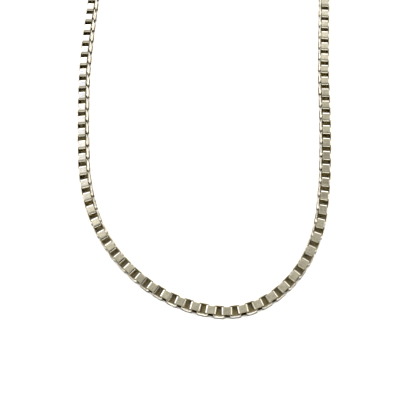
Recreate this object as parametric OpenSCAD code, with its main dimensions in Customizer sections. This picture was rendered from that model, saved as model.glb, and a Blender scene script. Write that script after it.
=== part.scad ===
// Box chain necklace, closed and laid flat in a long loop. Square links bent from flat
// band lie by turns on edge and on their side, each passing through the next. The ends
// meet behind the neck in a barrel clasp, held by two jump rings.
// Millimetres, +Z up, resting on z = 0, front of the neck at -Y, origin under the middle.

/* [Necklace] */
// Length of the closed necklace, kept to the nearest whole pair of links
necklace_length = 457; // [440:1:500]

/* [Links] */
// Outside width and height of a link
link_width = 3; // [2.9:0.05:3.2]
// Length of a link along the chain
link_length = 3; // [2.9:0.01:3.1]
// Thickness of the band that a link is bent from
band_thickness = 0.3; // [0.25:0.01:0.32]
// Radius inside the bends of a link
bend_radius = 0.24; // [0.1:0.01:0.26]
// Play of two linked links along the chain
link_play = 0.3; // [0.26:0.01:0.34]
// Room on each side of a band inside the next link
side_room = 0.15; // [0.14:0.01:0.2]

/* [Jump rings] */
// Diameter of the wire of a jump ring
ring_wire = 0.6; // [0.5:0.05:0.7]
// Room beside an end link's band inside a jump ring
ring_slack = 0.34; // [0.3:0.01:0.5]
// Gap between a jump ring and what holds it
ring_gap = 0.17; // [0.12:0.01:0.2]

/* [Clasp] */
// Length of the barrel without its eyes
barrel_length = 8; // [6:0.5:12]
// Diameter of the barrel
barrel_diameter = 3; // [2.8:0.1:3.6]
// Radius of the rounding round the barrel's ends
barrel_rounding = 0.6; // [0.3:0.1:1]
// Width of the seam round the barrel's middle
seam_width = 0.24; // [0.1:0.02:0.4]
// Depth of that seam
seam_depth = 0.15; // [0.1:0.01:0.25]
// Diameter of the wire of an eye
eye_wire = 0.6; // [0.5:0.05:0.7]
// Diameter of the hole in an eye
eye_bore = 1.2; // [1.1:0.05:1.4]
// Depth to which an eye is sunk in the barrel's end
eye_sink = 0.4; // [0.2:0.05:0.5]

/* [Hidden] */
$fn = 32;

// Route of the closed loop, anticlockwise from the middle of the clasp
ROUTE = [
    [-1.3, 94.4], [-12.6, 91.9], [-24.6, 84.6], [-33.2, 73], [-37.2, 59], [-38, 45], [-38, 31.5],
    [-38, 18.5], [-38.2, 6.2], [-38.6, -6.2], [-38.6, -18.8], [-37.9, -31.4], [-36.8, -44],
    [-35.1, -56.5], [-31.2, -68.6], [-24.5, -79], [-15.4, -87.4], [-5, -92.8], [6.6, -94.8],
    [16.8, -91.6], [25.3, -83.7], [31.1, -72.7], [33.6, -60.3], [34.8, -47.8], [35.5, -35],
    [35.9, -22.4], [36.7, -9.8], [37.6, 3], [38.5, 16], [39.3, 29.5], [39.7, 43.5],
    [38.9, 57.5], [35.5, 71.5], [27.4, 84], [15, 91.8]
];
STEPS = 16; // short steps between two route points

silver = [0.83, 0.81, 0.75];
overshoot = 0.01; // how far a cut runs past the surface that it opens

// A link's band, its inside and its outer bends
band_width = link_width - 2 * band_thickness - 2 * side_room;
inside_length = link_length - 2 * band_thickness;
inside_width = link_width - 2 * band_thickness;
outer_bend = bend_radius + band_thickness;
pitch = inside_length - link_play;

// A jump ring goes round an end link's band, and the band's corners stay ring_gap clear
ring_bore_radius = band_width / 2 + ring_slack;
ring_radius = ring_bore_radius + ring_wire / 2;
band_to_ring = sqrt(pow(ring_bore_radius - ring_gap, 2) - pow(band_width / 2, 2));
link_to_ring = inside_length / 2 + band_to_ring;

// In the eye the ring's wire lies low and outwards, ring_gap clear of the eye's hole
wire_in_eye = eye_bore / 2 - ring_wire / 2 - ring_gap;
wire_aside = wire_in_eye * cos(45);
barrel_height = barrel_diameter / 2;
eye_reach = barrel_length / 2 + eye_bore / 2 + eye_wire - eye_sink;
ring_reach = eye_reach + wire_aside + ring_radius;
chain_reach = ring_reach + link_to_ring;

// A jump ring lies on the inside of its end link, and leans up into the eye
ring_low = band_thickness + ring_gap + ring_wire / 2;
ring_high = barrel_height - wire_aside;
ring_lean = asin((ring_high - ring_low) / (2 * ring_radius));

// The chain starts and ends on a link that stands on edge, so its count is odd
pair_count = round((necklace_length - 2 * chain_reach) / (2 * pitch));
last_link = 2 * pair_count;
seam_link = pair_count;
loop_length = last_link * pitch + 2 * chain_reach;

// The curve runs smoothly through the route's points
function pick(i) = ROUTE[(i + len(ROUTE)) % len(ROUTE)];
function blend(a, b, c, d, u) =
    (2 * b + (c - a) * u + (2 * a - 5 * b + 4 * c - d) * u * u + (3 * b - a - 3 * c + d) * u * u * u) / 2;
curve = [
    for (i = [0 : len(ROUTE) - 1], k = [0 : STEPS - 1])
        blend(pick(i - 1), pick(i), pick(i + 1), pick(i + 2), k / STEPS)
];
closed_curve = concat(curve, [curve[0]]);
travel = [
    for (i = 0, s = 0; i < len(closed_curve);
        s = s + (i < len(curve) ? norm(closed_curve[i + 1] - closed_curve[i]) : 0), i = i + 1) s
];

// The curve is scaled to the loop's length, and its outline is centred on the origin
route_scale = loop_length / travel[len(curve)];
curve_x = [for (p = curve) p[0]];
curve_y = [for (p = curve) p[1]];
middle = [(min(curve_x) + max(curve_x)) / 2, (min(curve_y) + max(curve_y)) / 2];
x_table = [for (i = [0 : len(curve)]) [travel[i], closed_curve[i][0] - middle[0]]];
y_table = [for (i = [0 : len(curve)]) [travel[i], closed_curve[i][1] - middle[1]]];

function wrap(s) = s < 0 ? s + loop_length : s > loop_length ? s - loop_length : s;
function place(s) =
    let (t = wrap(s) / route_scale) [lookup(t, x_table), lookup(t, y_table)] * route_scale;
function heading(s) =
    let (d = place(s + pitch / 2) - place(s - pitch / 2)) atan2(d[1], d[0]);

// Moves its children to a distance along the loop and turns +X along the travel
module on_route(s) {
    translate(concat(place(s), 0)) rotate(heading(s)) children();
}

module rounded_box_outline(length, width, corner) {
    square([length, width - 2 * corner], center = true);
    square([length - 2 * corner, width], center = true);
    for (x = [-1, 1], y = [-1, 1])
        translate([x * (length / 2 - corner), y * (width / 2 - corner)]) circle(corner);
}

// One link, a closed band with its hole along Z
module link() {
    linear_extrude(band_width, center = true)
        difference() {
            rounded_box_outline(link_length, link_width, outer_bend);
            rounded_box_outline(inside_length, inside_width, bend_radius);
        }
}

// Even links stand on edge on the surface, and odd links lie between them
module chain(first, last) {
    color(silver)
        for (i = [first : last])
            on_route(chain_reach + i * pitch)
                translate([0, 0, link_width / 2])
                    rotate([i % 2 == 0 ? 90 : 0, 0, 0]) link();
}

module wire_ring(ring_r, wire_r) {
    rotate_extrude() translate([ring_r, 0]) circle(wire_r);
}

// side is 1 on the left strand, which leaves the clasp first, and -1 on the right one
module jump_ring(side) {
    color(silver)
        on_route(side > 0 ? ring_reach : loop_length - ring_reach)
            translate([0, 0, (ring_low + ring_high) / 2])
                rotate([0, side * ring_lean, 0]) wire_ring(ring_radius, ring_wire / 2);
}

// A turned barrel along X with rounded ends
module barrel() {
    rim = barrel_height - barrel_rounding;
    flank = barrel_length - 2 * barrel_rounding;
    rotate([0, 90, 0]) {
        cylinder(h = barrel_length, r = rim, center = true);
        cylinder(h = flank, r = barrel_height, center = true);
        for (end = [-1, 1])
            translate([0, 0, end * flank / 2]) wire_ring(rim, barrel_rounding);
    }
}

module seam() {
    rotate([0, 90, 0]) difference() {
        cylinder(h = seam_width, r = barrel_height + overshoot, center = true);
        cylinder(h = seam_width + 2 * overshoot, r = barrel_height - seam_depth, center = true);
    }
}

module clasp() {
    left_eye = place(eye_reach);
    right_eye = place(loop_length - eye_reach);
    along = right_eye - left_eye;
    color(silver)
        translate(concat((left_eye + right_eye) / 2, barrel_height))
            rotate(atan2(along[1], along[0])) {
                difference() {
                    barrel();
                    seam();
                }
                for (end = [-1, 1])
                    translate([end * eye_reach, 0, 0])
                        rotate([90, 0, 0]) wire_ring((eye_bore + eye_wire) / 2, eye_wire / 2);
            }
}

chain(0, seam_link);  // chain_left
chain(seam_link + 1, last_link);  // chain_right
jump_ring(1);  // jump_ring_left
jump_ring(-1);  // jump_ring_right
clasp();
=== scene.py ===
import math

import bpy
import numpy as np
from mathutils import Matrix, Vector


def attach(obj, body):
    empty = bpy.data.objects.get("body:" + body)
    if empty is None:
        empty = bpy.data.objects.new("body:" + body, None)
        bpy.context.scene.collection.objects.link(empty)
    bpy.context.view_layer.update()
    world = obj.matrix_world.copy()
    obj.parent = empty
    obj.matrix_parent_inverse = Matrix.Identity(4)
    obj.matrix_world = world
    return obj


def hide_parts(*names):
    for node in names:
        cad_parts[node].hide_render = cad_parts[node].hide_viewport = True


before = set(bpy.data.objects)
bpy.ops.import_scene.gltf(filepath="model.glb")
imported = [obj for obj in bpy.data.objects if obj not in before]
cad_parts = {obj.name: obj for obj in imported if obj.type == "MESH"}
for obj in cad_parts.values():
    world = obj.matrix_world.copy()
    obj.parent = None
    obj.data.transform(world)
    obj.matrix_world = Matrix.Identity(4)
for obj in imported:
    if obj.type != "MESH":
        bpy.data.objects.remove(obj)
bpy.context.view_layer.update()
mm = 0.001
sameSpot = 0.001 * mm  # corners closer than this are at one spot
print("frame loaded:", ", ".join(sorted(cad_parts)))


def addObject(name, data):
    thing = bpy.data.objects.new(name, data)
    bpy.context.scene.collection.objects.link(thing)
    return thing


# Direction from the middle: degrees round from the front towards +X, and degrees above the floor
def directionAt(turn, rise):
    turn, rise = math.radians(turn), math.radians(rise)
    return Vector((math.sin(turn) * math.cos(rise), -math.cos(turn) * math.cos(rise), math.sin(rise)))


# Camera, at the angle from which the necklace lies in the picture
cameraView = {
    "lookAt": (0.233, -65.572, 2.6),  # mm, the middle of the picture
    "azimuth": 5.686,                 # degrees, to the right of straight in front
    "elevation": 68.70,               # degrees above the floor
    "roll": -5.486,                   # degrees
    "distance": 161.66,               # mm
    "lens": 49.99,                    # mm
    "sensor": 36.0,                   # mm wide
    "nearest": 1.0,                   # mm, what is closer isn't drawn
    "farthest": 20000.0,              # mm
}


def placeCamera(view):
    back = directionAt(view["azimuth"], view["elevation"])
    roll = Matrix.Rotation(math.radians(view["roll"]), 3, "Z")
    turn = back.to_track_quat("Z", "Y").to_matrix() @ roll
    stand = (Vector(view["lookAt"]) + back * view["distance"]) * mm
    data = bpy.data.cameras.new("pictureCamera")
    data.lens = view["lens"]
    data.sensor_width = view["sensor"]
    data.clip_start = view["nearest"] * mm
    data.clip_end = view["farthest"] * mm
    camera = addObject("pictureCamera", data)
    camera.matrix_world = Matrix.Translation(stand) @ turn.to_4x4()
    bpy.context.scene.camera = camera


placeCamera(cameraView)
print("camera placed")


# A node with its settings, and with its inputs linked where a socket is given and set where a value is
def addNode(tree, kind, inputs=None, **settings):
    node = tree.nodes.new(kind)
    for name, value in settings.items():
        setattr(node, name, value)
    for name, value in (inputs or {}).items():
        if isinstance(value, bpy.types.NodeSocket):
            tree.links.new(value, node.inputs[name])
        else:
            node.inputs[name].default_value = value
    return node


def addMath(tree, operation, *values):
    return addNode(tree, "ShaderNodeMath", dict(enumerate(values)), operation=operation).outputs[0]


# Takes a value from one range to another, straight or with soft ends, and no further than its ends
def addRange(tree, value, low, high, first=0.0, last=1.0, soft=True):
    return addNode(tree, "ShaderNodeMapRange", {
        "Value": value, "From Min": low, "From Max": high, "To Min": first, "To Max": last,
    }, interpolation_type="SMOOTHSTEP" if soft else "LINEAR").outputs[0]


def addColourMix(tree, share, first, second):
    return addNode(tree, "ShaderNodeMix", {
        "Factor": share, "A": first, "B": second,
    }, data_type="RGBA").outputs["Result"]


def addNoise(tree, place, scale, detail, roughness=0.5):
    return addNode(tree, "ShaderNodeTexNoise", {
        "Vector": place, "Scale": scale, "Detail": detail, "Roughness": roughness,
    }).outputs["Fac"]


# Soft studio light: a dim ceiling that brightens towards one side, and soft boxes round it. How far a
# direction points towards another is the cosine of the angle between them
studioLight = {
    "brightSide": (-0.6, 0.8, 0.0),       # where the ceiling is brightest
    "ceilingRamp": (0.20, 0.61),          # how far towards that side it starts and ends to brighten
    "ceilingStrength": (0.42, 1.22),
    "ceilingColour": ((1.0, 0.94, 0.74), (1.0, 1.02, 1.15)),
    "whitening": 3.0,                     # how late the colour changes as the ceiling brightens
    "boxFoot": (0.00, 0.10),              # sine of the height where the boxes start and are full
    "boxColour": (1.0, 0.985, 0.86),
    # Boxes: direction, how far towards it they start and are full, strength. The last two are small
    # patches of the ceiling that light single faces
    "boxes": (
        ((-1.0, 0.0, 0.0), 0.36, 0.50, 0.3),
        ((0.95, 0.3, 0.0), 0.38, 0.55, 0.9),
        ((-0.5, 0.866, 0.0), 0.60, 0.80, 1.6),
        ((0.0, -1.0, 0.0), 0.40, 0.80, 0.30),
        ((0.45, -0.89, 0.0), 0.80, 0.93, 2.0),
        ((0.115, 0.265, 0.9573), 0.9945, 0.9985, 0.14),
        ((-0.05, 0.20, 0.9785), 0.9975, 0.9995, 0.12),
    ),
    # Dark places: the camera with its stand, the far corner of the room, and a small dim patch of the
    # ceiling. Each lies where all its sides overlap: direction, how far towards it they start and are full
    "dark": (
        (((1.0, 0.0, 0.0), 0.06, 0.18), ((0.0, -1.0, 0.0), 0.04, 0.18), ((0.0, 0.0, 1.0), 0.26, 0.36)),
        (((-0.64, 0.77, 0.0), 0.86, 0.93),),
        (((0.16, 0.39, 0.9068), 0.9975, 1.004),),
    ),
    "backdrop": 0.95,                     # what the camera sees past the floor
}


# From 0 to most, by how far a direction points towards a side
def addSide(tree, direction, side, low, high, most=1.0):
    towards = addNode(tree, "ShaderNodeVectorMath", {0: direction, 1: side}, operation="DOT_PRODUCT")
    return addRange(tree, towards.outputs["Value"], low, high, 0.0, most)


def addBackground(tree, colour, strength):
    return addNode(tree, "ShaderNodeBackground", {"Color": colour, "Strength": strength}).outputs[0]


def lightStudio(light):
    world = bpy.data.worlds.new("studio")
    world.use_nodes = True
    tree = world.node_tree
    tree.nodes.clear()
    direction = addNode(tree, "ShaderNodeTexCoord").outputs["Generated"]

    bright = addSide(tree, direction, light["brightSide"], *light["ceilingRamp"])
    strength = addRange(tree, bright, 0.0, 1.0, *light["ceilingStrength"], soft=False)
    whiter = addMath(tree, "POWER", bright, light["whitening"])
    dimColour, brightColour = light["ceilingColour"]
    tint = addColourMix(tree, whiter, (*dimColour, 1), (*brightColour, 1))
    sky = addBackground(tree, tint, strength)

    height = addNode(tree, "ShaderNodeSeparateXYZ", {"Vector": direction}).outputs["Z"]
    foot = addRange(tree, height, *light["boxFoot"])
    for side, low, high, power in light["boxes"]:
        inBox = addSide(tree, direction, side, low, high, power)
        box = addBackground(tree, (*light["boxColour"], 1), addMath(tree, "MULTIPLY", inBox, foot))
        sky = addNode(tree, "ShaderNodeAddShader", {0: sky, 1: box}).outputs[0]

    black = addBackground(tree, (0, 0, 0, 1), 0.0)
    for sides in light["dark"]:
        inside = 1.0
        for side, low, high in sides:
            inside = addSide(tree, direction, side, low, high, inside)
        sky = addNode(tree, "ShaderNodeMixShader", {0: inside, 1: sky, 2: black}).outputs[0]

    backdrop = addBackground(tree, (1, 1, 1, 1), light["backdrop"])
    seen = addNode(tree, "ShaderNodeLightPath").outputs["Is Camera Ray"]
    mix = addNode(tree, "ShaderNodeMixShader", {0: seen, 1: sky, 2: backdrop})
    addNode(tree, "ShaderNodeOutputWorld", {"Surface": mix.outputs[0]})
    bpy.context.scene.world = world
    world.cycles_visibility.diffuse = False  # it shines on the silver only
    bpy.context.scene.view_settings.view_transform = "Standard"
    bpy.context.scene.view_settings.look = "None"


lightStudio(studioLight)
print("light set")


# Shader groups that both silvers share
def newGroup(name, inputs, outputs):
    group = bpy.data.node_groups.new(name, "ShaderNodeTree")
    for label, kind in inputs:
        group.interface.new_socket(label, in_out="INPUT", socket_type=kind)
    for label in outputs:
        group.interface.new_socket(label, in_out="OUTPUT", socket_type="NodeSocketFloat")
    return group, addNode(group, "NodeGroupInput").outputs


def addGroup(tree, group, inputs):
    return addNode(tree, "ShaderNodeGroup", inputs, node_tree=group).outputs


noiseSpan = (0.3, 0.7)  # most of a noise lies between these

# Depths of tarnish and painted shade: on the links they paint the shade inside and under them as well as
# tarnish
tarnishAndShadePattern = {
    "patchScale": 900.0,   # patches to the metre
    "patches": 0.12,       # how much they deepen and lift the tarnish
    "age": 0.08,           # how much deeper it is on the lightest link than on the darkest
    "brown": (0.15, 0.5),  # depth where it starts and is full
    "black": (0.6, 1.0),
}


# Tarnish and painted shade: brown where metal is sheltered, black where it is deep, patchy at its edge. On
# the links the depths paint the shade inside and under them
def makeTarnishAndShadeGroup(pattern):
    group, given = newGroup("tarnish", [
        ("Vector", "NodeSocketVector"), ("Recess", "NodeSocketFloat"), ("Tone", "NodeSocketFloat"),
        ("Patch Scale", "NodeSocketFloat"), ("Patches", "NodeSocketFloat"),
    ], ["Brown", "Black"])
    noise = addNoise(group, given["Vector"], given["Patch Scale"], 3.0, 0.6)
    patch = addRange(group, noise, *noiseSpan, -1.0, 1.0, soft=False)
    aged = addMath(group, "MULTIPLY_ADD", given["Tone"], pattern["age"], given["Recess"])
    depth = addMath(group, "MULTIPLY_ADD", patch, given["Patches"], aged)
    brown = addRange(group, depth, *pattern["brown"])
    black = addRange(group, depth, *pattern["black"])
    addNode(group, "NodeGroupOutput", {"Brown": brown, "Black": black})
    return group


smudgePattern = {
    "scale": 650.0,        # smudges to the metre
    "span": (0.42, 0.68),  # part of the noise over which one fades in
}


# Waviness of hand-finished metal with fine lines over it, and dull smudges
def makeWearGroup(smudges):
    group, given = newGroup("wear", [
        ("Vector", "NodeSocketVector"), ("Lines", "NodeSocketVector"),
        ("Wave Scale", "NodeSocketFloat"), ("Line Depth", "NodeSocketFloat"),
    ], ["Height", "Smudge", "Streak"])
    wave = addNoise(group, given["Vector"], given["Wave Scale"], 2.0)
    lines = addNoise(group, given["Lines"], 1.0, 2.0, 0.7)
    height = addMath(group, "MULTIPLY_ADD", lines, given["Line Depth"], wave)
    blotches = addNoise(group, given["Vector"], smudges["scale"], 4.0, 0.65)
    smudge = addRange(group, blotches, *smudges["span"])
    addNode(group, "NodeGroupOutput", {"Height": height, "Smudge": smudge, "Streak": lines})
    return group


tarnishAndShadeGroup = makeTarnishAndShadeGroup(tarnishAndShadePattern)
wearGroup = makeWearGroup(smudgePattern)

linkSilverLook = {
    "colour": (0.90, 0.88, 0.81),
    # Brown and black of the tarnish, which on the links also paint the shade in their hollows and under
    # them
    "brownTarnishAndShade": (0.36, 0.29, 0.12),
    "blackTarnishAndShade": (0.05, 0.037, 0.012),
    "roughness": 0.08,
    "tarnishRoughness": 0.22,  # how much rougher tarnish is
    "smudgeRoughness": 0.05,   # how much rougher smudges are
    "waveScale": 900.0,        # waves to the metre
    "waveDepth": 0.008,        # mm
    "lineStretch": (3000.0, 600.0, 1.0),  # fine drawn lines: quick along the band, slow across it
    "lineDepth": 0.25,         # share of the waves' depth
    "streaks": 0.12,           # how much the lines darken and lighten
    "smudges": 0.12,           # how much the smudges darken
    "toneRange": (0.84, 1.06),
}
findingSilverLook = {
    "colour": (0.88, 0.87, 0.82),
    "brownTarnishAndShade": (0.36, 0.29, 0.12),
    "blackTarnishAndShade": (0.05, 0.037, 0.012),
    "roughness": 0.2,
    "tarnishRoughness": 0.2,
    "smudgeRoughness": 0.1,
    "waveScale": 900.0,
    "waveDepth": 0.004,
    "lineStretch": (800.0, 9000.0, 1.0),
    "lineDepth": 0.3,
    "streaks": 0.06,
    "smudges": 0.06,
    "toneRange": (0.97, 1.03),
}


def makeSilver(name, look):
    material = bpy.data.materials.new(name)
    material.use_nodes = True
    tree = material.node_tree
    shader = tree.nodes["Principled BSDF"]
    place = addNode(tree, "ShaderNodeTexCoord").outputs["Object"]
    band = addNode(tree, "ShaderNodeUVMap", uv_map="band").outputs["UV"]
    # How deep a point lies, for its tarnish and, on the links, its painted shade
    recess = addNode(tree, "ShaderNodeAttribute", attribute_name="recess").outputs["Fac"]
    tone = addNode(tree, "ShaderNodeAttribute", attribute_name="tone").outputs["Fac"]
    tarnish = addGroup(tree, tarnishAndShadeGroup, {
        "Vector": place, "Recess": recess, "Tone": tone,
        "Patch Scale": tarnishAndShadePattern["patchScale"], "Patches": tarnishAndShadePattern["patches"],
    })
    lines = addNode(tree, "ShaderNodeMapping", {"Vector": band, "Scale": look["lineStretch"]}).outputs[0]
    wear = addGroup(tree, wearGroup, {
        "Vector": place, "Lines": lines, "Wave Scale": look["waveScale"], "Line Depth": look["lineDepth"],
    })

    streaks, smudges = look["streaks"], look["smudges"]
    shade = addRange(tree, tone, 0.0, 1.0, *look["toneRange"], soft=False)
    streak = addRange(tree, wear["Streak"], *noiseSpan, 1 - streaks, 1 + streaks, soft=False)
    shade = addMath(tree, "MULTIPLY", shade, streak)
    smudge = addRange(tree, wear["Smudge"], 0.0, 1.0, 1.0, 1 - smudges, soft=False)
    shade = addMath(tree, "MULTIPLY", shade, smudge)
    clean = addNode(tree, "ShaderNodeVectorMath", {0: look["colour"], "Scale": shade}, operation="SCALE")
    # Tarnish colours, which on the links also paint the shade inside them, under them and low on their
    # outsides
    brown = addColourMix(tree, tarnish["Brown"], clean.outputs[0], (*look["brownTarnishAndShade"], 1))
    colour = addColourMix(tree, tarnish["Black"], brown, (*look["blackTarnishAndShade"], 1))

    rough = addMath(tree, "MULTIPLY_ADD", tarnish["Brown"], look["tarnishRoughness"], look["roughness"])
    rough = addMath(tree, "MULTIPLY_ADD", wear["Smudge"], look["smudgeRoughness"], rough)
    bump = addNode(tree, "ShaderNodeBump", {"Height": wear["Height"], "Distance": look["waveDepth"] * mm})
    metallic = addMath(tree, "SUBTRACT", 1.0, tarnish["Black"])
    shader.inputs["Specular IOR Level"].default_value = 0.0
    tree.links.new(colour, shader.inputs["Base Color"])
    tree.links.new(metallic, shader.inputs["Metallic"])
    tree.links.new(rough, shader.inputs["Roughness"])
    tree.links.new(bump.outputs[0], shader.inputs["Normal"])
    return material


linkSilver = makeSilver("linkSilver", linkSilverLook)
findingSilver = makeSilver("findingSilver", findingSilverLook)
print("silver made")


# The places of the three corners of each triangle of a node
def readNode(name):
    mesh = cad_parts[name].data
    places = np.empty(len(mesh.vertices) * 3)
    mesh.vertices.foreach_get("co", places)
    corners = np.empty(len(mesh.loops), int)
    mesh.loops.foreach_get("vertex_index", corners)
    return places.reshape(-1, 3)[corners.reshape(-1, 3)]


# Number of the separate solid of each triangle: corners that lie at one spot share the lowest number
# round them, until nothing changes
def countSolids(triangles):
    rounded = np.rint(triangles.reshape(-1, 3) / sameSpot).astype(int)
    spots, spot = np.unique(rounded, axis=0, return_inverse=True)
    corners = spot.reshape(-1, 3)
    label = np.arange(len(spots))
    while True:
        lower = label.copy()
        np.minimum.at(lower, corners.ravel(), np.repeat(label[corners].min(axis=1), 3))
        lower = lower[lower]
        if np.array_equal(lower, label):
            break
        label = lower
    return np.unique(label[corners[:, 0]], return_inverse=True)[1]


# Where each link of the chain lies: its middle, the directions along and across the chain there, whether
# it stands on edge, and the number of its node. The upright faces of a link all turn by the same angle
# from the axes, give or take quarter turns, and the links beside it say which quarter
def findLinks(names):
    leaning = 0.05  # a face that looks up or down by more than this share isn't upright
    middles, quarters, spans, owners = [], [], [], []
    for owner, name in enumerate(names):
        triangles = readNode(name)
        solid = countSolids(triangles)
        count = solid.max() + 1
        low = np.full((count, 3), np.inf)
        high = np.full((count, 3), -np.inf)
        np.minimum.at(low, solid, triangles.min(axis=1))
        np.maximum.at(high, solid, triangles.max(axis=1))
        area = np.cross(triangles[:, 1] - triangles[:, 0], triangles[:, 2] - triangles[:, 0])
        size = np.linalg.norm(area, axis=1)
        upright = np.abs(area[:, 2]) < leaning * size
        turn = np.arctan2(area[:, 1], area[:, 0])
        fourfold = np.zeros(count, complex)
        np.add.at(fourfold, solid[upright], (size * np.exp(4j * turn))[upright])
        middles.append((low + high) / 2)
        quarters.append(np.angle(fourfold) / 4)
        spans.append(high - low)
        owners.append(np.full(count, owner))
    middle, quarter, span, owner = map(np.concatenate, (middles, quarters, spans, owners))

    fromClasp = np.arctan2(-middle[:, 0], middle[:, 1]) % (2 * np.pi)  # anticlockwise
    order = np.argsort(fromClasp)
    middle, quarter, span, owner = middle[order], quarter[order], span[order], owner[order]
    step = np.gradient(middle[:, :2], axis=0)
    rough = np.arctan2(step[:, 1], step[:, 0])
    heading = quarter + np.rint((rough - quarter) / (np.pi / 2)) * np.pi / 2
    along = np.stack((np.cos(heading), np.sin(heading), np.zeros(len(heading))), axis=1)
    across = np.stack((-along[:, 1], along[:, 0], along[:, 2]), axis=1)
    onEdge = span[:, 2] > span[:, 2].mean()
    return middle, along, across, onEdge, owner


chainNames = ("chain_left", "chain_right")
linkMiddle, linkAlong, linkAcross, linkOnEdge, linkOwner = findLinks(chainNames)
print("links found:", len(linkMiddle))


# Plain pale floor, with soft lamps that light it alone and leave the silver's reflections plain
floorLook = {
    "halfSize": 0.4,      # m
    "below": 0.02,        # mm under the necklace
    "shadesBelow": 0.01,  # mm under it, so above the floor
    "colour": (0.95, 0.95, 0.945),
    "lampDistance": 0.6,  # m
    "lampSize": 0.14,     # m
    # Lamps: degrees round from the front, degrees above the floor, watts, colour, the shade that stops each
    "lamps": (
        (90, 35, 2.3, (1.0, 1.0, 1.0), "closeShade"),
        (-90, 35, 2.3, (1.0, 1.0, 1.0), "closeShade"),
        (0, 30, 2.4, (1.0, 1.0, 1.0), "wideShade"),
        (0, 90, 0.66, (1.0, 0.70, 0.19), "noShade"),
    ),
    # Shades, mm: width of the strip under the chain, length and width of the patch under each lying link
    "shades": {"closeShade": (2.5, (2.95, 3.18)), "wideShade": (3.4, (2.95, 3.4))},
}


# A shade is only there for the lamps, and keeps the floor inside and close round the links dim. Each side
# of its strip = middles of the links + half its width across, and each corner of a patch = middle of its
# link + half its length along + half its width across
def layShade(name, stripWidth, patchSize, below):
    ground = linkMiddle * (1, 1, 0) - (0, 0, below * mm)
    aside = linkAcross * stripWidth * mm / 2
    left, right = ground + aside, ground - aside
    strip = np.stack((left[:-1], right[:-1], right[1:], left[1:]), axis=1)
    corners = np.array(((1, 1), (-1, 1), (-1, -1), (1, -1))) * patchSize * mm / 2
    fromMiddle = corners[:, :1] * linkAlong[:, None] + corners[:, 1:] * linkAcross[:, None]
    patches = ground[:, None] + fromMiddle
    places = np.concatenate((strip, patches[~linkOnEdge])).reshape(-1, 3)
    mesh = bpy.data.meshes.new(name)
    mesh.from_pydata(places.tolist(), [], np.arange(len(places)).reshape(-1, 4).tolist())
    shade = addObject(name, mesh)
    shade.visible_camera = shade.visible_diffuse = shade.visible_glossy = shade.visible_transmission = False
    return shade


def layFloor(look):
    half, z = look["halfSize"], -look["below"] * mm
    corners = [(-half, -half, z), (half, -half, z), (half, half, z), (-half, half, z)]
    mesh = bpy.data.meshes.new("floor")
    mesh.from_pydata(corners, [], [(0, 1, 2, 3)])
    material = bpy.data.materials.new("paleFloor")
    material.use_nodes = True
    shader = material.node_tree.nodes["Principled BSDF"]
    shader.inputs["Base Color"].default_value = (*look["colour"], 1)
    shader.inputs["Specular IOR Level"].default_value = 0.0
    mesh.materials.append(material)
    floor = addObject("floor", mesh)

    # What the lamps light, and what stops each of them
    lit = bpy.data.collections.new("floorLit")
    lit.objects.link(floor)
    stops = {"noShade": bpy.data.collections.new("noShade")}
    for name, (stripWidth, patchSize) in look["shades"].items():
        stops[name] = bpy.data.collections.new(name)
        stops[name].objects.link(layShade(name, stripWidth, patchSize, look["shadesBelow"]))
    for turn, rise, power, colour, shade in look["lamps"]:
        back = directionAt(turn, rise)
        data = bpy.data.lights.new("floorLamp", "AREA")
        data.size = look["lampSize"]
        data.energy = power
        data.color = colour
        lamp = addObject("floorLamp", data)
        aim = back.to_track_quat("Z", "Y").to_matrix().to_4x4()
        lamp.matrix_world = Matrix.Translation(back * look["lampDistance"]) @ aim
        lamp.light_linking.receiver_collection = lit
        lamp.light_linking.blocker_collection = stops[shade]


layFloor(floorLook)
print("floor laid")


# Values at the points of a mesh, which its material reads by their names
def addValues(mesh, **values):
    for label, each in values.items():
        attribute = mesh.attributes.new(label, "FLOAT", "POINT")
        attribute.data.foreach_set("value", each.ravel().astype(np.float32))


# A link is a flat band bent into a square ring
linkShape = {
    "length": 3.0,            # mm along the chain
    "width": 3.0,             # mm across it
    "bandWidth": 2.1,         # mm
    "bandThickness": 0.3,     # mm
    "outerBend": 0.54,        # mm
    "edgeRounding": 0.11,     # mm
    "crown": 8,               # degrees that a side is already turned where its bend starts
    "crownLength": 0.22,      # mm before the bend where it starts to turn
    "lean": (0.8, 0.5, 0.6),  # most degrees that a link lies off its place, about its length, side and hole
    "shift": 0.025,           # mm, most that it lies off along the chain
    "lowShadeLine": 0.5,           # mm above its lower side, up to which a lying link's outside is darkened with painted shade
    # Tarnish and painted shade at the points of the band's section, in the order in which makeLinks names
    # them
    "lyingTarnishAndShade": (0.7, 0.0, 0.0, 0.0, 0.4, 0.6, 0.9),
    "bendTarnishAndShade": (0.8, 0.1, 0.0, 0.1, 0.5, 0.7, 0.9),  # where lying links bend, with painted shade in their corners
    # Links on edge are painted dark inside: painted shade with tarnish
    "onEdgeTarnishAndShade": (0.0, 0.0, 0.0, 0.7, 1.0, 1.0, 0.7),
    "endTarnishAndShade": 0.3,        # least tarnish and painted shade on the ends of all links
    "patternStep": 17,        # mm from the drawn lines of one link to those of the next
    "seed": 7,
}


# Small turns about the three axes, one after another, as matrices
def turnMatrices(angles):
    result = np.broadcast_to(np.eye(3), (len(angles), 3, 3))
    for axis in range(3):
        a, b = (axis + 1) % 3, (axis + 2) % 3
        turn = np.zeros((len(angles), 3, 3))
        turn[:, axis, axis] = 1
        turn[:, a, a] = turn[:, b, b] = np.cos(angles[:, axis])
        turn[:, b, a] = np.sin(angles[:, axis])
        turn[:, a, b] = -np.sin(angles[:, axis])
        result = result @ turn
    return result


# How long the way is to each point of a loop, and back to the first
def measureLoop(points):
    steps = np.diff(points, axis=0, append=points[:1])
    return np.concatenate(((0,), np.cumsum(np.linalg.norm(steps, axis=1))))


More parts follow.
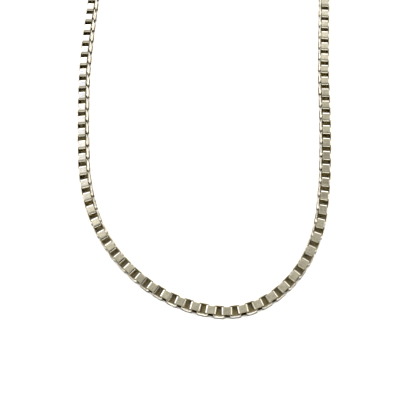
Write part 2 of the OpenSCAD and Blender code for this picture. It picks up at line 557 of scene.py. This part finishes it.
# The path goes round the square with round corners: corner middle + (bend - depth) x outward direction.
# The ends are flat, and the facing of the sides already turns a little before they reach the bends.
# The profile is the band's section, given as depth below the outer face and place across the band.
# A point of a link = its middle + path along its length and side + place across along its hole
def makeLinks(name, shape, onEdge, axes, middle, tone):
    bend, crown = shape["outerBend"] * mm, shape["crown"]
    reach = np.array((shape["length"], shape["width"])) * mm / 2 - bend
    flatReach = reach - (shape["crownLength"] * mm, 0)
    # A quarter of the path, from an end to a side: angle of the place, angle of the facing, corner middle
    stations = [
        (0, 0, reach), (30, 30, reach), (60, 60, reach), (90, 90 - crown, reach), (90, 90, flatReach)]
    path = stations + [(180 - a, 180 - f, place * (-1, 1)) for a, f, place in stations[::-1]]
    path += [(a + 180, f + 180, -place) for a, f, place in path]
    angle, facingAngle, corner = (np.array(column) for column in zip(*path))
    outward, facingOut = (
        np.stack((np.cos(a), np.sin(a)), axis=1) for a in np.radians((angle, facingAngle)))

    half = shape["bandWidth"] * mm / 2
    thick = shape["bandThickness"] * mm
    rounding = shape["edgeRounding"] * mm
    # A lying link's outside is darkened with painted shade up to this line
    low = shape["lowShadeLine"] * mm - half
    # Points: outside low, above it and high, upper edge outside and inside, lower edge inside and outside
    depth = np.array((0, 0, 0, rounding, thick, thick, rounding))
    across = np.array((rounding - half, low, half - rounding, half, half, -half, -half))
    # The strip after each point starts and ends with these directions, outwards and across
    startFacing = np.array(((1, 0), (1, 0), (1, 0), (0, 1), (-1, 0), (0, -1), (0, -1)))
    endFacing = np.array(((1, 0), (1, 0), (0, 1), (0, 1), (-1, 0), (0, -1), (1, 0)))

    count, around, strips = len(middle), len(angle), len(depth)
    bands = corner[:, None] + (bend - depth)[None, :, None] * outward[:, None]
    local = np.concatenate((bands, np.broadcast_to(across[:, None], (around, strips, 1))), axis=2)
    places = np.einsum("pki,lij->lpkj", local, axes) + middle[:, None, None]
    lift = np.maximum(0, -places[..., 2].min(axis=(1, 2)))  # a leaning link isn't sunk in the floor
    places[..., 2] += lift[:, None, None]

    link, p, k = np.meshgrid(np.arange(count), np.arange(around), np.arange(strips), indexing="ij")
    nextP, nextK = (p + 1) % around, (k + 1) % strips

    def number(atP, atK):
        return (link * around + atP) * strips + atK

    faces = np.stack((number(p, k), number(nextP, k), number(nextP, nextK), number(p, nextK)), axis=-1)

    cornerP = np.stack((p, nextP, nextP, p), axis=-1)
    facing = np.stack((startFacing[k], startFacing[k], endFacing[k], endFacing[k]), axis=-2)
    localNormal = np.concatenate((facing[..., :1] * facingOut[cornerP], facing[..., 1:]), axis=-1)
    normals = np.einsum("lpkci,lij->lpkcj", localNormal, axes)

    along = measureLoop(bands[:, 0])[np.stack((p, p + 1, p + 1, p), axis=-1)]
    along = along + link[..., None] * shape["patternStep"] * mm
    over = measureLoop(np.stack((depth, across), axis=1))[np.stack((k, k, k + 1, k + 1), axis=-1)]
    uv = np.stack((along, over), axis=-1)

    # Tarnish and painted shade run round the section, painted shade inside and under the links and low on a
    # lying link's outside, and into the bends of a lying link by how far they are turned
    lyingTarnishAndShade, bendTarnishAndShade, onEdgeTarnishAndShade = (
        np.array(shape[key]) for key in ("lyingTarnishAndShade", "bendTarnishAndShade", "onEdgeTarnishAndShade"))
    inBend = 2 * np.abs(outward[:, :1] * outward[:, 1:])
    atEnd = np.isclose(np.abs(outward[:, :1]), 1)
    recess = lyingTarnishAndShade + (bendTarnishAndShade - lyingTarnishAndShade) * inBend
    recess = np.where(onEdge[:, None, None], onEdgeTarnishAndShade, recess)
    recess = np.maximum(recess, atEnd * shape["endTarnishAndShade"])
    tones = np.broadcast_to(tone[:, None, None], recess.shape)

    mesh = bpy.data.meshes.new(name)
    mesh.vertices.add(count * around * strips)
    mesh.vertices.foreach_set("co", places.ravel())
    mesh.loops.add(faces.size)
    mesh.loops.foreach_set("vertex_index", faces.ravel().astype(np.int32))
    mesh.polygons.add(faces.size // 4)
    mesh.polygons.foreach_set("loop_start", np.arange(0, faces.size, 4, dtype=np.int32))
    mesh.update(calc_edges=True)
    mesh.polygons.foreach_set("use_smooth", np.ones(faces.size // 4, bool))
    mesh.uv_layers.new(name="band").data.foreach_set("uv", uv.ravel())
    addValues(mesh, recess=recess, tone=tones)
    mesh.validate()
    mesh.normals_split_custom_set(normals.reshape(-1, 3).tolist())
    return addObject(name, mesh)


def layChain(shape):
    dice = np.random.default_rng(shape["seed"])
    count = len(linkMiddle)
    up = np.broadcast_to((0.0, 0.0, 1.0), (count, 3))
    side = np.where(linkOnEdge[:, None], up, linkAcross)
    hole = np.where(linkOnEdge[:, None], -linkAcross, up)
    lean = np.radians(dice.uniform(-1, 1, (count, 3)) * shape["lean"])
    axes = turnMatrices(lean) @ np.stack((linkAlong, side, hole), axis=1)
    middle = linkMiddle + linkAlong * dice.uniform(-1, 1, (count, 1)) * shape["shift"] * mm
    tone = dice.uniform(0, 1, count)
    for owner, (node, name) in enumerate(zip(chainNames, ("chainLeftLinks", "chainRightLinks"))):
        which = np.flatnonzero(linkOwner == owner)
        piece = makeLinks(name, shape, linkOnEdge[which], axes[which], middle[which], tone[which])
        piece.data.materials.append(linkSilver)
        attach(piece, "root")
        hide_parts(node)
        print(name, "has", len(which), "links")


layChain(linkShape)


# Middle of a node and its own axes, the longest first. Both findings are the same seen from either end, so
# the middle of their box is their own
def findAxes(name):
    spots = np.unique(np.rint(readNode(name).reshape(-1, 3) / sameSpot), axis=0) * sameSpot
    middle = (spots.min(axis=0) + spots.max(axis=0)) / 2
    return middle, np.linalg.svd(spots - middle, full_matrices=False)[2]


findingLook = {
    "sharpEdge": 40,  # degrees from which an edge stays sharp
    "tone": 0.5,
}


# A part is a row of equal rings of points, which joins up with itself or is closed by a cap at each end.
# It brings the tarnish of each ring
def makeFinding(name, node, parts):
    places, faces, recess, uv, start = [], [], [], [], 0
    for rings, joined, tarnish in parts:
        count, steps = rings.shape[:2]
        number = start + np.arange(count * steps).reshape(count, steps)
        here, ahead = (number, np.roll(number, -1, axis=0)) if joined else (number[:-1], number[1:])
        quads = np.stack((here, np.roll(here, -1, axis=1), np.roll(ahead, -1, axis=1), ahead), axis=-1)
        faces += quads.reshape(-1, 4).tolist()
        if not joined:
            faces += [number[0, ::-1].tolist(), number[-1].tolist()]
        places.append(rings.reshape(-1, 3))
        recess.append(np.repeat(tarnish, steps))
        lengths = np.cumsum(np.linalg.norm(np.diff(rings[:, 0], axis=0, prepend=rings[:1, 0]), axis=1))
        radius = np.linalg.norm(rings[0, 0] - rings[0].mean(axis=0))
        turn = np.linspace(0, 2 * math.pi, steps, endpoint=False) * radius
        uv.append(np.stack(np.meshgrid(turn, lengths), axis=-1).reshape(-1, 2))
        start += count * steps
    places, recess, uv = map(np.concatenate, (places, recess, uv))
    mesh = bpy.data.meshes.new(name)
    mesh.from_pydata(places.tolist(), [], faces)
    corners = np.empty(len(mesh.loops), int)
    mesh.loops.foreach_get("vertex_index", corners)
    mesh.uv_layers.new(name="band").data.foreach_set("uv", uv[corners].ravel())
    addValues(mesh, recess=recess, tone=np.full(len(places), findingLook["tone"]))
    mesh.shade_smooth()
    mesh.set_sharp_from_angle(angle=math.radians(findingLook["sharpEdge"]))
    mesh.materials.append(findingSilver)
    piece = addObject(name, mesh)
    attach(piece, "root")
    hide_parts(node)


# Wire bent to a ring about the axis: middle + (radius + wire cos b) x outward direction + wire sin b x axis
def bendWire(middle, axis, radius, wire, around, across):
    upright = abs(axis[2]) >= 0.9
    first = np.cross(axis, (1.0, 0.0, 0.0) if upright else (0.0, 0.0, 1.0))
    first /= np.linalg.norm(first)
    second = np.cross(axis, first)
    a = np.linspace(0, 2 * math.pi, around, endpoint=False)[:, None, None]
    b = np.linspace(0, 2 * math.pi, across, endpoint=False)[None, :, None]
    outward = np.cos(a) * first + np.sin(a) * second
    return middle + (radius + wire * np.cos(b)) * outward + wire * np.sin(b) * axis


ringShape = {
    "radius": 1.69,      # mm, to the middle of the wire
    "wire": 0.6,         # mm, diameter
    "around": 48,        # steps round the ring
    "across": 14,        # steps round the wire
    "tarnish": 0.15,
}


def addJumpRings(shape):
    radius, wire, around = shape["radius"] * mm, shape["wire"] * mm / 2, shape["around"]
    for node, name in (("jump_ring_left", "jumpRingLeft"), ("jump_ring_right", "jumpRingRight")):
        middle, axes = findAxes(node)
        ring = bendWire(middle, axes[2], radius, wire, around, shape["across"])
        makeFinding(name, node, [(ring, True, np.full(around, shape["tarnish"]))])


addJumpRings(ringShape)
print("jump rings added")


claspShape = {
    "length": 8.0,         # mm, without the eyes
    "radius": 1.5,         # mm
    "rounding": 0.6,       # mm
    "roundingSteps": 7,
    "seamWidth": 0.24,     # mm
    "seamDepth": 0.15,     # mm
    "seamEdge": 0.03,      # mm, broken edge of the seam
    "steps": 48,           # round the barrel
    "eyeReach": 4.8,       # mm from the middle to an eye's middle
    "eyeRadius": 0.9,      # mm, to the middle of the wire
    "eyeWire": 0.6,        # mm, diameter
    "eyeAround": 32,       # steps round an eye
    "eyeAcross": 14,       # steps round its wire
    "eyeTarnish": (0.12, 0.3),  # at its far end, and how much more for each radius towards the barrel
}


# A point of the barrel = its middle + place along its axis + radius x outward direction
def addClasp(shape):
    middle, axes = findAxes("clasp")
    along = axes[0]
    aside = np.cross((0.0, 0.0, 1.0), along)
    up = np.cross(along, aside)
    half, radius, rounding = shape["length"] / 2, shape["radius"], shape["rounding"]
    seam, deep, edge = shape["seamWidth"] / 2, radius - shape["seamDepth"], shape["seamEdge"]
    flat = radius - rounding  # radius of the flat of an end
    # One half of the outline from its end to the seam, as place along, radius and tarnish
    outline = [(half, flat * 0.45, 0.5), (half, flat * 0.8, 0.25)]
    for turn in np.radians(np.linspace(90, 0, shape["roundingSteps"])):
        outline.append((half - rounding + rounding * math.sin(turn), flat + rounding * math.cos(turn), 0.1))
    outline += [(half * 0.5, radius, 0.1), (seam + 2 * edge, radius, 0.2), (seam + edge, radius, 0.35),
                (seam, radius - edge, 0.7), (seam, deep, 1.0)]
    outline = np.array(outline)
    outline = np.concatenate((outline * (-1, 1, 1), outline[::-1]))
    place, size, tarnish = outline.T
    angle = np.linspace(0, 2 * math.pi, shape["steps"], endpoint=False)[None, :, None] - math.pi / 2
    spoke = np.cos(angle) * aside + np.sin(angle) * up
    barrel = middle + (place[:, None, None] * along + size[:, None, None] * spoke) * mm

    parts = [(barrel, False, tarnish)]
    eyeRadius, eyeWire = shape["eyeRadius"] * mm, shape["eyeWire"] * mm / 2
    least, more = shape["eyeTarnish"]
    for side in (-1, 1):
        eye = middle + side * shape["eyeReach"] * mm * along
        wire = bendWire(eye, aside, eyeRadius, eyeWire, shape["eyeAround"], shape["eyeAcross"])
        nearBarrel = 1 - side * ((wire.mean(axis=1) - eye) @ along) / eyeRadius
        parts.append((wire, True, least + more * nearBarrel))
    makeFinding("barrelClasp", "clasp", parts)


addClasp(claspShape)
print("clasp added")
